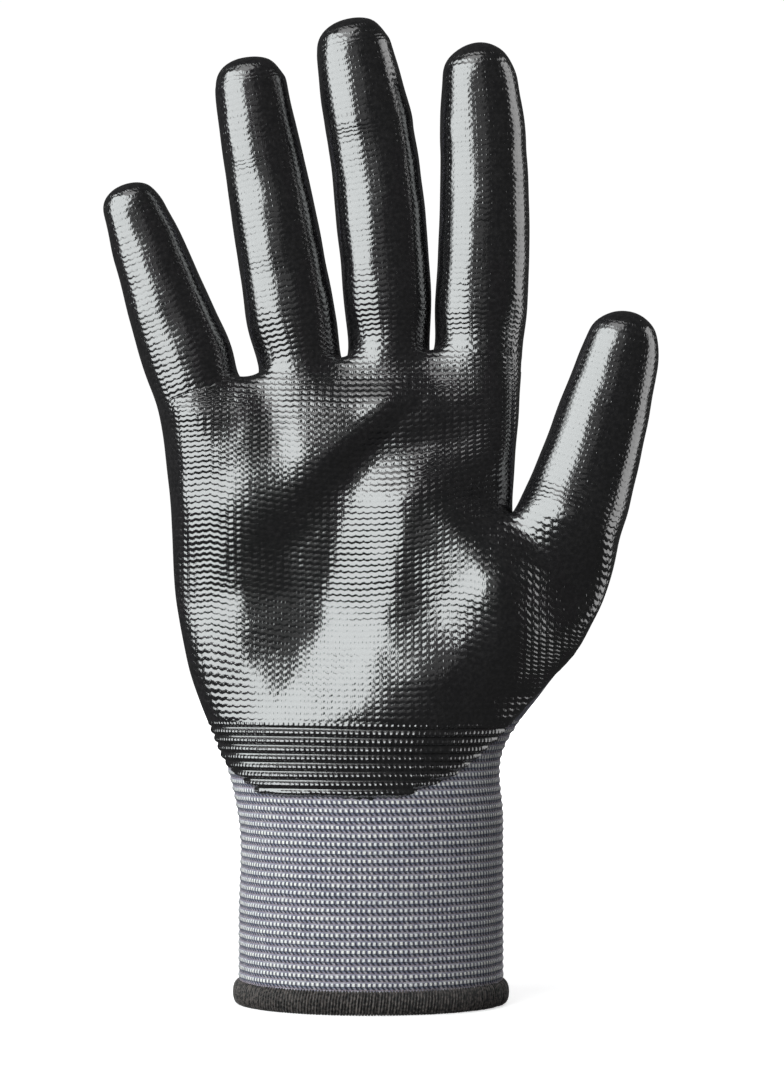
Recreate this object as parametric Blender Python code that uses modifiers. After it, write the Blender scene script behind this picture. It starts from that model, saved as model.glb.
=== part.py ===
"""Palm-dipped knitted work glove for the right hand, built as a jointed assembly.

The glove stands on its cuff hem. +Z runs from the hem to the fingertips, the palm faces -Y and the
thumb is on the +X side. The design tables are in millimetres, and MM turns them into metres.

One coarse cage of the whole hand is smoothed by Subdivision Surface and then cut into the cuff, the
palm and the lengths of each finger. Each length is a knitted wall, and a coating film lies on its
palm side. Folds between lengths are V-shaped cuts whose hinge lies inside the finger.
"""

import math
from collections import namedtuple

import bmesh
import bpy
from mathutils import Matrix, Vector

MM = 0.001

# Walls and gaps
KNIT_THICKNESS = 1.0
FILM_THICKNESS = 0.6
PIECE_GAP = 0.3
FILM_REACH = FILM_THICKNESS + PIECE_GAP
CUT_GAP = 0.8

# Cuff and hem
CUFF_CENTRE_X = -2.5
CUFF_HALF_WIDTH = 33.0
CUFF_HALF_DEPTH = 22.3
CUFF_MID_HEIGHT = 22.0
CUFF_EDGE_HEIGHT = 1.5
HEM_HEIGHT = 6.0
HEM_FOOT_BEVEL = 0.8
HEM_THICKNESS = 1.1
HEM_CLEARANCE = 0.4
HEM_COLUMNS = 44

# Elastic yarn laid inside the cuff
ELASTIC_RADIUS = 0.4
ELASTIC_INSET = 2.3
ELASTIC_START = 9.0
ELASTIC_PITCH = 7.0
ELASTIC_TURNS = 4
ELASTIC_POINTS_PER_TURN = 22

# Hinges: limits in degrees, and how far each hinge lies from the stall's centre towards the palm
WRIST_HEIGHT = 46.0
WRIST_FLEX = 30.0
WRIST_EXTEND = 30.0
ROOT_FLEX = 80.0
ROOT_EXTEND = 15.0
MIDDLE_FLEX = 80.0
END_FLEX = 44.0
THUMB_ROOT_FLEX = 45.0
THUMB_ROOT_EXTEND = 10.0
THUMB_END_FLEX = 70.0
FOLD_MARGIN = 5.0
HINGE_SHIFT = 0.4

# The finger root hinges lean by this share of their stall's lean, so that bent fingers stay apart
ROOT_LEAN_SHARE = 0.5

# A stall leans by `lean` degrees towards the little finger, and its tip bends sideways by `bend` and
# towards the palm by `sag`. `knuckles` are fractions of its length, and `tip` is the length of its
# round end. `widths` are full widths over the coating at the root, a fifth of the way up, at each
# knuckle and at the pad.
Stall = namedtuple("Stall", "name root lean length bend sag knuckles widths tip")
STALLS = (
    Stall("little", (-45.4, 0.0, 152.5), 19.5, 56.0, 0.0, 3.0, (0.44, 0.70),
          (22.4, 22.2, 20.6, 17.8, 16.0), 10.0),
    Stall("ring", (-20.2, 0.0, 159.0), 10.0, 78.6, 0.0, 4.0, (0.44, 0.72),
          (21.6, 22.6, 21.6, 19.8, 18.2), 9.5),
    Stall("middle", (1.9, 0.0, 162.5), 0.3, 83.9, -10.0, 4.5, (0.44, 0.72),
          (20.8, 22.1, 22.4, 21.5, 19.2), 10.5),
    Stall("index", (24.2, 0.0, 162.5), -5.5, 77.4, -8.0, 4.0, (0.44, 0.72),
          (22.0, 23.3, 22.5, 21.5, 19.7), 13.0),
)
THUMB = Stall("thumb", (46.5, -6.0, 120.0), -20.5, 54.8, -4.3, 4.0, (0.46,), (27.0, 25.3, 22.9, 19.6), 13.0)
BASE_STOP = 0.2
STALL_DEPTH_RATIO = 0.92
END_RING = 0.62

# One stall ring: two side points, two palm-side points and two back points on a full ellipse
RING_SIDE_SHARE = 0.55
RING_DEPTH_SHARE = 0.87

# A hand row between the wrist and the thumb crotch. `spread` is 0 where the columns are spaced as on
# a round tube and 1 where they line up with the fingers and the thumb above.
Row = namedtuple("Row", "height little_edge thumb_edge front back power spread")
CUFF_EDGE_ROW = Row(CUFF_EDGE_HEIGHT, CUFF_CENTRE_X - CUFF_HALF_WIDTH, CUFF_CENTRE_X + CUFF_HALF_WIDTH,
                    CUFF_HALF_DEPTH, CUFF_HALF_DEPTH, 2.0, 0.0)
CUFF_MID_ROW = CUFF_EDGE_ROW._replace(height=CUFF_MID_HEIGHT)
WRIST_ROW = Row(WRIST_HEIGHT, -35.5, 30.5, 21.2, 21.2, 2.0, 0.0)
HAND_ROWS = (
    Row(64.0, -39.9, 30.7, 18.0, 18.2, 2.1, 0.1),
    Row(77.0, -45.0, 39.3, 16.2, 17.2, 2.2, 0.3),
    Row(91.0, -48.7, 49.6, 14.4, 16.2, 2.3, 0.55),
    Row(106.0, -51.1, 56.3, 12.8, 14.8, 2.4, 0.8),
)
CROTCH_ROW = Row(122.0, -51.7, 32.0, 12.2, 13.6, 2.5, 1.0)
KNUCKLE_ROW = Row(139.0, -53.4, 33.0, 11.6, 12.2, 3.0, 1.0)

# Mounds and the hollow of the palm: centre x, centre z, radius in x, radius in z, height
PALM_MOUNDS = (
    (24.0, 82.0, 15.0, 22.0, 5.0),
    (-33.0, 80.0, 13.0, 26.0, 3.8),
    (-8.0, 108.0, 14.0, 20.0, -2.0),
)
THUMB_FORWARD = 6.0
THUMB_FORWARD_X = (15.0, 45.0)
THUMB_FORWARD_Z = (66.0, 101.0)

FIT_ROUNDS = 12
MAX_LIFT_FACTOR = 1.2

Finish = namedtuple("Finish", "name colour roughness")
KNIT = Finish("grey_marl_knit", (0.30, 0.30, 0.36, 1.0), 0.9)
NITRILE = Finish("black_nitrile", (0.012, 0.012, 0.014, 1.0), 0.22)
BINDING = Finish("hem_thread", (0.03, 0.028, 0.03, 1.0), 0.8)
ELASTIC = Finish("elastic_yarn", (0.75, 0.75, 0.72, 1.0), 0.7)

# A hinge in the glove: a point, the axis that flexes towards the palm, the direction to the
# fingertip, and the flexing and extending limits in degrees
Hinge = namedtuple("Hinge", "name point axis along flex extend")
PALMAR = Vector((0.0, -1.0, 0.0))


def smoothstep(low, high, value):
    """Rise smoothly from 0 at low to 1 at high."""
    share = min(1.0, max(0.0, (value - low) / (high - low)))
    return share * share * (3.0 - 2.0 * share)


def leaning(degrees):
    """Along and sideways directions of a stall that leans towards the little finger."""
    lean = math.radians(degrees)
    return Vector((-math.sin(lean), 0.0, math.cos(lean))), Vector((math.cos(lean), 0.0, math.sin(lean)))


def stall_frame(stall, distance):
    """Centre, sideways direction and along direction of a stall at a distance from its root."""
    along, side = leaning(stall.lean)
    share = distance / stall.length
    centre = Vector(stall.root) + along * distance + side * (stall.bend * share * share)
    centre += PALMAR * (stall.sag * share * share)
    turn = math.atan(2.0 * stall.bend * share / stall.length)
    return (centre,
            side * math.cos(turn) - along * math.sin(turn),
            along * math.cos(turn) + side * math.sin(turn))


def stall_half_width(stall, distance):
    """Half width of the knitted wall of a stall, under its film."""
    pad = stall.length - stall.tip
    stops = [0.0] + [stall.length * share for share in (BASE_STOP,) + stall.knuckles] + [pad]
    reach = min(distance, pad)
    for first, second, low, high in zip(stops, stops[1:], stall.widths, stall.widths[1:]):
        if reach <= second:
            width = low + (high - low) * (reach - first) / (second - first)
            break
    half = width / 2.0 - FILM_REACH
    if distance > pad:
        half *= math.sqrt(max(0.0, 1.0 - ((distance - pad) / stall.tip) ** 2))
    return half


def stall_ring(stall, distance):
    """Six points round a stall, from its little side across the palm side and back."""
    centre, side, _ = stall_frame(stall, distance)
    half = stall_half_width(stall, distance)
    deep = half * STALL_DEPTH_RATIO * RING_DEPTH_SHARE
    across = half * RING_SIDE_SHARE
    return [centre - side * half,
            centre - side * across + PALMAR * deep,
            centre + side * across + PALMAR * deep,
            centre + side * half,
            centre + side * across - PALMAR * deep,
            centre - side * across - PALMAR * deep]


def stall_hinge(stall, distance, name, flex, extend, straightened=False):
    """Hinge across a stall, set towards its palm side."""
    centre, side, along = stall_frame(stall, distance)
    if straightened:
        along, side = leaning(stall.lean * ROOT_LEAN_SHARE)
    shift = stall_half_width(stall, distance) * STALL_DEPTH_RATIO * HINGE_SHIFT
    return Hinge(name, centre + PALMAR * shift, side, along, flex, extend)


def fold_gap(hinge, depth):
    """Distance of a cut edge from the hinge plane, so that both edges clear at the hinge's limits."""
    palm_slope = math.tan(math.radians(hinge.flex / 2.0 + FOLD_MARGIN))
    gap = CUT_GAP / 2.0 + palm_slope * max(0.0, depth + FILM_REACH)
    if hinge.extend:
        gap += math.tan(math.radians(hinge.extend / 2.0 + FOLD_MARGIN)) * max(0.0, FILM_REACH - depth)
    return gap


def on_cut(hinge, point, sign):
    """Move a point along the finger onto the lower (-1) or upper (+1) cut surface of a hinge."""
    offset = point - hinge.point
    gap = fold_gap(hinge, offset.dot(PALMAR))
    return point + hinge.along * (sign * gap - offset.dot(hinge.along))


def palm_point(row, share, side):
    """Point of a hand row at a share of its width, on the palm (+1), the back (-1) or the edge (0)."""
    x = row.little_edge + (row.thumb_edge - row.little_edge) * share
    forward = THUMB_FORWARD * smoothstep(*THUMB_FORWARD_X, x) * smoothstep(*THUMB_FORWARD_Z, row.height)
    depth = row.front if side > 0 else row.back
    depth *= max(0.0, 1.0 - abs(2.0 * share - 1.0) ** row.power) ** (1.0 / row.power)
    if side > 0:
        depth += sum(height * math.exp(-((x - mid_x) / wide) ** 2 - ((row.height - mid_z) / tall) ** 2)
                     for mid_x, mid_z, wide, tall, height in PALM_MOUNDS)
    return Vector((x, -forward - side * depth, row.height))


def column_shares():
    """Shares of the hand's width at the ten palm columns: on a round tube, and under the stalls."""
    round_shares = [(1.0 - math.cos(math.pi * (column + 1) / 11.0)) / 2.0 for column in range(10)]
    roots = [stall_ring(stall, 0.0) for stall in STALLS]
    first = roots[0][0].x
    last = roots[-1][3].x
    finger_shares = [(root[place].x - first) / (last - first) for root in roots for place in (1, 2)]
    thumb = stall_ring(THUMB, 0.0)
    palm_width = CROTCH_ROW.thumb_edge - CROTCH_ROW.little_edge
    whole_width = thumb[3].x - CROTCH_ROW.little_edge
    spread = [share * palm_width / whole_width for share in finger_shares]
    spread += [(thumb[place].x - CROTCH_ROW.little_edge) / whole_width for place in (1, 2)]
    return round_shares, finger_shares, spread


def closed_row(row, shares):
    """Ring of a hand row: palm columns, thumb edge, back columns and little-finger edge."""
    ring = [palm_point(row, share, 1) for share in shares]
    ring.append(palm_point(row, 1.0, 0))
    ring += [palm_point(row, share, -1) for share in reversed(shares)]
    ring.append(palm_point(row, 0.0, 0))
    return ring


def palm_places(ring):
    """Places of a hand ring that lie on its palm side."""
    return [*range(len(ring) // 2 - 1), len(ring) - 1]


class Cage:
    """Coarse quad cage of the hand, with a zone name and a coated flag on each face."""

    def __init__(self):
        self.mesh = bmesh.new()
        self.zone = self.mesh.faces.layers.int.new("zone")
        self.coated = self.mesh.faces.layers.int.new("coated")
        self.zones = []
        self.folds = []

    def points(self, ring):
        """Add a ring of vertices."""
        return [self.mesh.verts.new(point) for point in ring]

    def face(self, corners, zone, coated):
        """Add one face of a zone."""
        if zone not in self.zones:
            self.zones.append(zone)
        face = self.mesh.faces.new(corners)
        face[self.zone] = self.zones.index(zone)
        face[self.coated] = int(coated)

    def band(self, lower, upper, zone, coated_places):
        """Join two closed rings by faces, of which those at the coated places carry film."""
        count = len(lower)
        for place in range(count):
            after = (place + 1) % count
            corners = (lower[place], lower[after], upper[after], upper[place])
            self.face(corners, zone, place in coated_places)

    def fold(self, lower, upper, hinge, lower_zone, upper_zone):
        """Join two rings by a fold that is cut away, and remember its two sides."""
        self.band(lower, upper, hinge.name, ())
        self.folds.append((hinge, lower_zone, upper_zone))


def add_stall(cage, stall, hole, hinges):
    """Build one stall on the cage above its hole in the palm, with a fold at each hinge."""
    parts = ("base", "tip") if stall is THUMB else ("base", "middle", "tip")
    lengths = [stall.name + "_" + part for part in parts]
    stops = [0.0] + [stall.length * share for share in stall.knuckles] + [stall.length - stall.tip]
    below = hole
    below_zone = "palm"
    for number, zone in enumerate(lengths):
        start = [on_cut(hinges[number], point, 1) for point in stall_ring(stall, stops[number])]
        ring = cage.points(start)
        cage.fold(below, ring, hinges[number], below_zone, zone)
        coated = range(6) if zone.endswith("tip") else range(3)
        middle = cage.points(stall_ring(stall, (stops[number] + stops[number + 1]) / 2.0))
        if zone.endswith("base"):
            cage.band(ring, middle, zone, coated)
            ring = middle
        if number + 1 < len(lengths):
            upper = hinges[number + 1]
            below = cage.points([on_cut(upper, point, -1) for point in stall_ring(stall, stops[number + 1])])
            cage.band(ring, below, zone, coated)
            below_zone = zone
            continue
        for distance in (stall.length - stall.tip, stall.length - stall.tip * (1.0 - END_RING)):
            above = cage.points(stall_ring(stall, distance))
            cage.band(ring, above, zone, coated)
            ring = above
        end = cage.points([stall_frame(stall, stall.length - FILM_REACH)[0]])[0]
        for place in (0, 2, 4):
            cage.face((ring[place], ring[place + 1], ring[(place + 2) % 6], end), zone, True)


def stall_hinges(stall):
    """Hinges of one stall, from its root outwards."""
    distances = [stall.length * share for share in stall.knuckles]
    if stall is THUMB:
        return [stall_hinge(stall, 0.0, "thumb_root_fold", THUMB_ROOT_FLEX, THUMB_ROOT_EXTEND),
                stall_hinge(stall, distances[0], "thumb_end_fold", THUMB_END_FLEX, 0.0)]
    return [stall_hinge(stall, 0.0, stall.name + "_root_fold", ROOT_FLEX, ROOT_EXTEND, True),
            stall_hinge(stall, distances[0], stall.name + "_middle_fold", MIDDLE_FLEX, 0.0),
            stall_hinge(stall, distances[1], stall.name + "_end_fold", END_FLEX, 0.0)]


def build_cage():
    """The whole hand from the cuff edge to the fingertips."""
    cage = Cage()
    wrist = Hinge("wrist_fold", Vector((CUFF_CENTRE_X, 0.0, WRIST_HEIGHT)), Vector((1.0, 0.0, 0.0)),
                  Vector((0.0, 0.0, 1.0)), WRIST_FLEX, WRIST_EXTEND)
    hinges = {stall.name: stall_hinges(stall) for stall in STALLS + (THUMB,)}
    round_shares, finger_shares, spread_shares = column_shares()

    ring = cage.points(closed_row(CUFF_EDGE_ROW, round_shares))
    middle = cage.points(closed_row(CUFF_MID_ROW, round_shares))
    cage.band(ring, middle, "cuff", ())
    ring = cage.points([on_cut(wrist, point, -1) for point in closed_row(WRIST_ROW, round_shares)])
    cage.band(middle, ring, "cuff", ())
    above = cage.points([on_cut(wrist, point, 1) for point in closed_row(WRIST_ROW, round_shares)])
    cage.fold(ring, above, wrist, "cuff", "palm")
    ring = above
    for row in HAND_ROWS:
        shares = [low + (high - low) * row.spread for low, high in zip(round_shares, spread_shares)]
        above = cage.points(closed_row(row, shares))
        cage.band(ring, above, "palm", palm_places(above))
        ring = above

    # The thumb crotch splits the hand into the four-finger part and the thumb's hole.
    fingers = cage.points(closed_row(CROTCH_ROW, finger_shares))
    thumb_hinge = hinges["thumb"][0]
    hole = cage.points([on_cut(thumb_hinge, point, -1) for point in stall_ring(THUMB, 0.0)])
    inner = fingers[8]
    above = fingers[:8] + hole[1:6] + fingers[9:]
    cage.band(ring, above, "palm", palm_places(above))
    cage.face((fingers[7], hole[1], hole[0], inner), "palm", True)
    cage.face((inner, hole[0], hole[5], fingers[9]), "palm", False)
    add_stall(cage, THUMB, hole, hinges["thumb"])

    above = cage.points(closed_row(KNUCKLE_ROW, finger_shares))
    cage.band(fingers, above, "palm", palm_places(above))
    ring = above
    holes = []
    for stall in STALLS:
        root = hinges[stall.name][0]
        holes.append(cage.points([on_cut(root, point, -1) for point in stall_ring(stall, 0.0)]))
    top = [hole[place] for hole in holes for place in (1, 2)] + [holes[-1][3]]
    top += [hole[place] for hole in reversed(holes) for place in (4, 5)] + [holes[0][0]]
    cage.band(ring, top, "palm", palm_places(top))
    for hole, after in zip(holes, holes[1:]):
        cage.face((hole[2], after[1], after[0], hole[3]), "palm", True)
        cage.face((hole[3], after[0], after[5], hole[4]), "palm", False)
    for stall, hole in zip(STALLS, holes):
        add_stall(cage, stall, hole, hinges[stall.name])
    return cage, wrist, hinges


def smooth_mesh(holder):
    """Evaluate the Subdivision Surface of a cage object as a new mesh."""
    graph = bpy.context.evaluated_depsgraph_get()
    graph.update()
    return bpy.data.meshes.new_from_object(holder.evaluated_get(graph))


def smooth_skin(cage):
    """Subdivide the cage once, adjusted so that the smooth skin passes through its design points."""
    mesh = bpy.data.meshes.new("hand_cage")
    cage.mesh.to_mesh(mesh)
    holder = bpy.data.objects.new("hand_cage", mesh)
    bpy.context.scene.collection.objects.link(holder)
    subdivision = holder.modifiers.new("smooth", "SUBSURF")
    subdivision.levels = 1
    subdivision.render_levels = 1
    targets = [vertex.co.copy() for vertex in mesh.vertices]
    for _ in range(FIT_ROUNDS):
        smooth = smooth_mesh(holder)
        for vertex, target, reached in zip(mesh.vertices, targets, smooth.vertices):
            vertex.co += target - reached.co
        bpy.data.meshes.remove(smooth)
        mesh.update()
    skin = bmesh.new()
    smooth = smooth_mesh(holder)
    skin.from_mesh(smooth)
    skin.normal_update()
    bpy.data.meshes.remove(smooth)
    bpy.data.objects.remove(holder)
    bpy.data.meshes.remove(mesh)
    return skin


def trim_folds(skin, cage):
    """Set the edges of every fold exactly on its two cut surfaces."""
    zone = skin.faces.layers.int["zone"]
    number = {name: index for index, name in enumerate(cage.zones)}
    for hinge, lower_zone, upper_zone in cage.folds:
        for vertex in skin.verts:
            touched = {face[zone] for face in vertex.link_faces}
            if number[hinge.name] not in touched:
                continue
            if number[lower_zone] in touched:
                vertex.co = on_cut(hinge, vertex.co, -1)
            elif number[upper_zone] in touched:
                vertex.co = on_cut(hinge, vertex.co, 1)


def make_material(finish):
    """Principled material of a finish."""
    material = bpy.data.materials.new(finish.name)
    material.use_nodes = True
    shader = material.node_tree.nodes["Principled BSDF"]
    shader.inputs["Base Color"].default_value = finish.colour
    shader.inputs["Roughness"].default_value = finish.roughness
    shader.inputs["Metallic"].default_value = 0.0
    return material


def add_piece(name, mesh, finish, collection, parent):
    """Link a mesh or curve as a named piece that keeps its place under its parent hinge."""
    mesh.materials.append(make_material(finish))
    piece = bpy.data.objects.new(name, mesh)
    collection.objects.link(piece)
    if parent:
        piece.parent = parent
        piece.matrix_parent_inverse = parent.matrix_world.inverted()
    return piece


def skin_piece(skin, cage, zone_name, film, finish, name, collection, parent):
    """One zone of the skin as a knitted wall, or as the film on its palm side."""
    zone = skin.faces.layers.int["zone"]
    coated = skin.faces.layers.int["coated"]
    wanted = cage.zones.index(zone_name)
    piece = bmesh.new()
    copies = {}
    bare = []
    for face in skin.faces:
        if face[zone] != wanted:
            continue
        for vertex in face.verts:
            if vertex not in copies:
                copies[vertex] = piece.verts.new(vertex.co * MM)
        made_face = piece.faces.new([copies[vertex] for vertex in face.verts])
        made_face.smooth = True
        if not face[coated]:
            bare.append(made_face)
    if film:
        piece.normal_update()
        reach = PIECE_GAP * MM
        lifts = [vertex.normal * (min(vertex.calc_shell_factor(), MAX_LIFT_FACTOR) * reach)
                 for vertex in piece.verts]
        for vertex, lift in zip(piece.verts, lifts):
            vertex.co += lift
        bmesh.ops.delete(piece, geom=bare, context="FACES")
    mesh = bpy.data.meshes.new(name)
    piece.to_mesh(mesh)
    piece.free()
    made = add_piece(name, mesh, finish, collection, parent)
    wall = made.modifiers.new("wall", "SOLIDIFY")
    wall.thickness = (FILM_THICKNESS if film else KNIT_THICKNESS) * MM
    wall.offset = 1.0 if film else -1.0
    wall.use_even_offset = not film


def cuff_outline(angle, height, outwards):
    """Point of the cuff's oval at an angle, moved outwards along the oval's normal."""
    point = Vector((CUFF_HALF_WIDTH * math.cos(angle), CUFF_HALF_DEPTH * math.sin(angle), 0.0))
    normal = Vector((math.cos(angle) / CUFF_HALF_WIDTH, math.sin(angle) / CUFF_HALF_DEPTH, 0.0))
    point += normal.normalized() * outwards
    return Vector((point.x + CUFF_CENTRE_X, point.y, height))


def add_hem(collection):
    """Overlock binding: a U-section ring that takes the cuff's edge in its groove."""
    outer = HEM_CLEARANCE + HEM_THICKNESS
    inner = -KNIT_THICKNESS - HEM_CLEARANCE - HEM_THICKNESS
    section = ((outer, HEM_HEIGHT), (outer, HEM_FOOT_BEVEL), (outer - HEM_FOOT_BEVEL, 0.0),
               (inner + HEM_FOOT_BEVEL, 0.0), (inner, HEM_FOOT_BEVEL), (inner, HEM_HEIGHT))
    strip = bmesh.new()
    rings = []
    for outwards, height in section:
        angles = [2.0 * math.pi * column / HEM_COLUMNS for column in range(HEM_COLUMNS)]
        rings.append([strip.verts.new(cuff_outline(angle, height, outwards) * MM) for angle in angles])
    for upper, lower in zip(rings, rings[1:]):
        for column in range(HEM_COLUMNS):
            after = (column + 1) % HEM_COLUMNS
            strip.faces.new((lower[column], lower[after], upper[after], upper[column]))
    mesh = bpy.data.meshes.new("hem_binding")
    strip.to_mesh(mesh)
    strip.free()
    hem = add_piece("hem_binding", mesh, BINDING, collection, None)
    wall = hem.modifiers.new("wall", "SOLIDIFY")
    wall.thickness = HEM_THICKNESS * MM
    wall.offset = -1.0
    wall.use_even_offset = True


def add_elastic(collection):
    """Covered elastic yarn: a coil that lies against the inside of the cuff."""
    curve = bpy.data.curves.new("cuff_elastic", "CURVE")
    curve.dimensions = "3D"
    curve.bevel_depth = ELASTIC_RADIUS * MM
    curve.bevel_resolution = 2
    curve.use_fill_caps = True
    spline = curve.splines.new("POLY")
    count = ELASTIC_TURNS * ELASTIC_POINTS_PER_TURN + 1
    spline.points.add(count - 1)
    for number in range(count):
        turn = number / ELASTIC_POINTS_PER_TURN
        point = cuff_outline(2.0 * math.pi * turn, ELASTIC_START + ELASTIC_PITCH * turn, -ELASTIC_INSET)
        spline.points[number].co = (*(point * MM), 1.0)
    add_piece("cuff_elastic", curve, ELASTIC, collection, None)


def add_hinge(hinge, collection, parent):
    """Empty on a hinge's axis: its X runs along the axis and its Z towards the fingertip."""
    empty = bpy.data.objects.new("hinge_" + hinge.name, None)
    empty.empty_display_size = 8.0 * MM
    collection.objects.link(empty)
    basis = Matrix((hinge.axis, hinge.along.cross(hinge.axis), hinge.along)).transposed().to_4x4()
    place = Matrix.Translation(hinge.point * MM) @ basis
    if parent:
        empty.parent = parent
        empty.matrix_parent_inverse = parent.matrix_world.inverted()
    empty.matrix_basis = place
    bpy.context.view_layer.update()
    return empty


def build_glove():
    """Model the glove."""
    for item in list(bpy.data.objects):
        bpy.data.objects.remove(item)
    collection = bpy.data.collections.new("work_glove")
    bpy.context.scene.collection.children.link(collection)

    cage, wrist, hinges = build_cage()
    skin = smooth_skin(cage)
    trim_folds(skin, cage)

    skin_piece(skin, cage, "cuff", False, KNIT, "liner_cuff", collection, None)
    add_elastic(collection)
    add_hem(collection)
    hand = add_hinge(wrist, collection, None)
    skin_piece(skin, cage, "palm", False, KNIT, "liner_palm", collection, hand)
    skin_piece(skin, cage, "palm", True, NITRILE, "coating_palm", collection, hand)
    for stall in STALLS + (THUMB,):
        parent = hand
        for hinge, part in zip(hinges[stall.name], ("base", "middle", "tip")):
            if stall is THUMB and part == "middle":
                part = "tip"
            parent = add_hinge(hinge, collection, parent)
            zone = stall.name + "_" + part
            skin_piece(skin, cage, zone, False, KNIT, "liner_" + zone, collection, parent)
            skin_piece(skin, cage, zone, True, NITRILE, "coating_" + zone, collection, parent)
    skin.free()
    cage.mesh.free()


build_glove()
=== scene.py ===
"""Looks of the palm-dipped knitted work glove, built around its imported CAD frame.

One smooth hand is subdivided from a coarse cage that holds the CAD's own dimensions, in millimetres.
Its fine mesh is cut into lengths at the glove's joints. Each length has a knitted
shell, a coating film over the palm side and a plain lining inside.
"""

import math
from collections import namedtuple

import bpy
import numpy as np
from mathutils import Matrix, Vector


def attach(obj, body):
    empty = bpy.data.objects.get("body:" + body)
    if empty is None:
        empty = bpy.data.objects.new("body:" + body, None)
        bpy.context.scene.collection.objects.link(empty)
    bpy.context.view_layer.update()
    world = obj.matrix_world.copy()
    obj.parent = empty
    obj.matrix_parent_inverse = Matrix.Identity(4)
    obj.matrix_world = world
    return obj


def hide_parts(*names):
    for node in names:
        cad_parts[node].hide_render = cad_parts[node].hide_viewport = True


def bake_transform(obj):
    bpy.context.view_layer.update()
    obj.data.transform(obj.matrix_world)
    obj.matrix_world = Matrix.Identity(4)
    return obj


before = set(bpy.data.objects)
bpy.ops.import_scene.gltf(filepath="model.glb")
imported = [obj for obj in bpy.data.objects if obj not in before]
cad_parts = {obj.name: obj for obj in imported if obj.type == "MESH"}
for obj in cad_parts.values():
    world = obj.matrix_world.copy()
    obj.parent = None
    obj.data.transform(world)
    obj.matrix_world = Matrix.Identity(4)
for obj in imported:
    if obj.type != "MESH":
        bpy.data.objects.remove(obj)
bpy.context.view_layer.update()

MM = 0.001

# ---------------------------------------------------------------- dimensions, as in the CAD
KNIT_THICKNESS = 1.0
FILM_REACH = 0.9
CUFF_CENTRE_X = -2.5
CUFF_HALF_WIDTH = 33.0
CUFF_HALF_DEPTH = 22.3
CUFF_MID_HEIGHT = 22.0
CUFF_EDGE_HEIGHT = 1.5
HEM_HEIGHT = 6.0
HEM_THICKNESS = 1.1
HEM_CLEARANCE = 0.4

Stall = namedtuple("Stall", "name root lean length bend sag knuckles widths tip")
STALLS = (
    Stall("little", (-45.4, 0.0, 152.5), 19.5, 56.0, 0.0, 3.0, (0.44, 0.70),
          (22.4, 22.2, 20.6, 17.8, 16.0), 10.0),
    Stall("ring", (-20.2, 0.0, 159.0), 10.0, 78.6, 0.0, 4.0, (0.44, 0.72),
          (21.6, 22.6, 21.6, 19.8, 18.2), 9.5),
    Stall("middle", (1.9, 0.0, 162.5), 0.3, 83.9, -10.0, 4.5, (0.44, 0.72),
          (20.8, 22.1, 22.4, 21.5, 19.2), 10.5),
    Stall("index", (24.2, 0.0, 162.5), -5.5, 77.4, -8.0, 4.0, (0.44, 0.72),
          (22.0, 23.3, 22.5, 21.5, 19.7), 13.0),
)
THUMB = Stall("thumb", (46.5, -6.0, 120.0), -20.5, 54.8, -4.3, 4.0, (0.46,),
              (27.0, 25.3, 22.9, 19.6), 13.0)
ALL_STALLS = STALLS + (THUMB,)
BASE_STOP = 0.2
STALL_DEPTH_RATIO = 0.92
STALL_PLACES = 6
HAND_PLACES = 22
RING_SIDE_SHARE = 0.55
RING_DEPTH_SHARE = 0.87

Row = namedtuple("Row", "height little_edge thumb_edge front back power spread")
ROWS = (
    Row(CUFF_EDGE_HEIGHT, CUFF_CENTRE_X - CUFF_HALF_WIDTH, CUFF_CENTRE_X + CUFF_HALF_WIDTH,
        CUFF_HALF_DEPTH, CUFF_HALF_DEPTH, 2.0, 0.0),
    Row(CUFF_MID_HEIGHT, CUFF_CENTRE_X - CUFF_HALF_WIDTH, CUFF_CENTRE_X + CUFF_HALF_WIDTH,
        CUFF_HALF_DEPTH, CUFF_HALF_DEPTH, 2.0, 0.0),
    Row(46.0, -35.5, 30.5, 21.2, 21.2, 2.0, 0.0),
    Row(64.0, -39.9, 30.7, 18.0, 18.2, 2.1, 0.1),
    Row(77.0, -45.0, 39.3, 14.6, 17.2, 2.0, 0.3),
    Row(91.0, -48.7, 49.6, 12.4, 16.2, 2.1, 0.55),
    Row(106.0, -51.1, 56.3, 11.6, 14.8, 2.2, 0.8),
)
CROTCH_ROW = Row(122.0, -51.7, 32.0, 12.2, 13.6, 2.5, 1.0)
KNUCKLE_ROW = Row(139.0, -53.4, 33.0, 11.6, 12.2, 3.0, 1.0)
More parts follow.
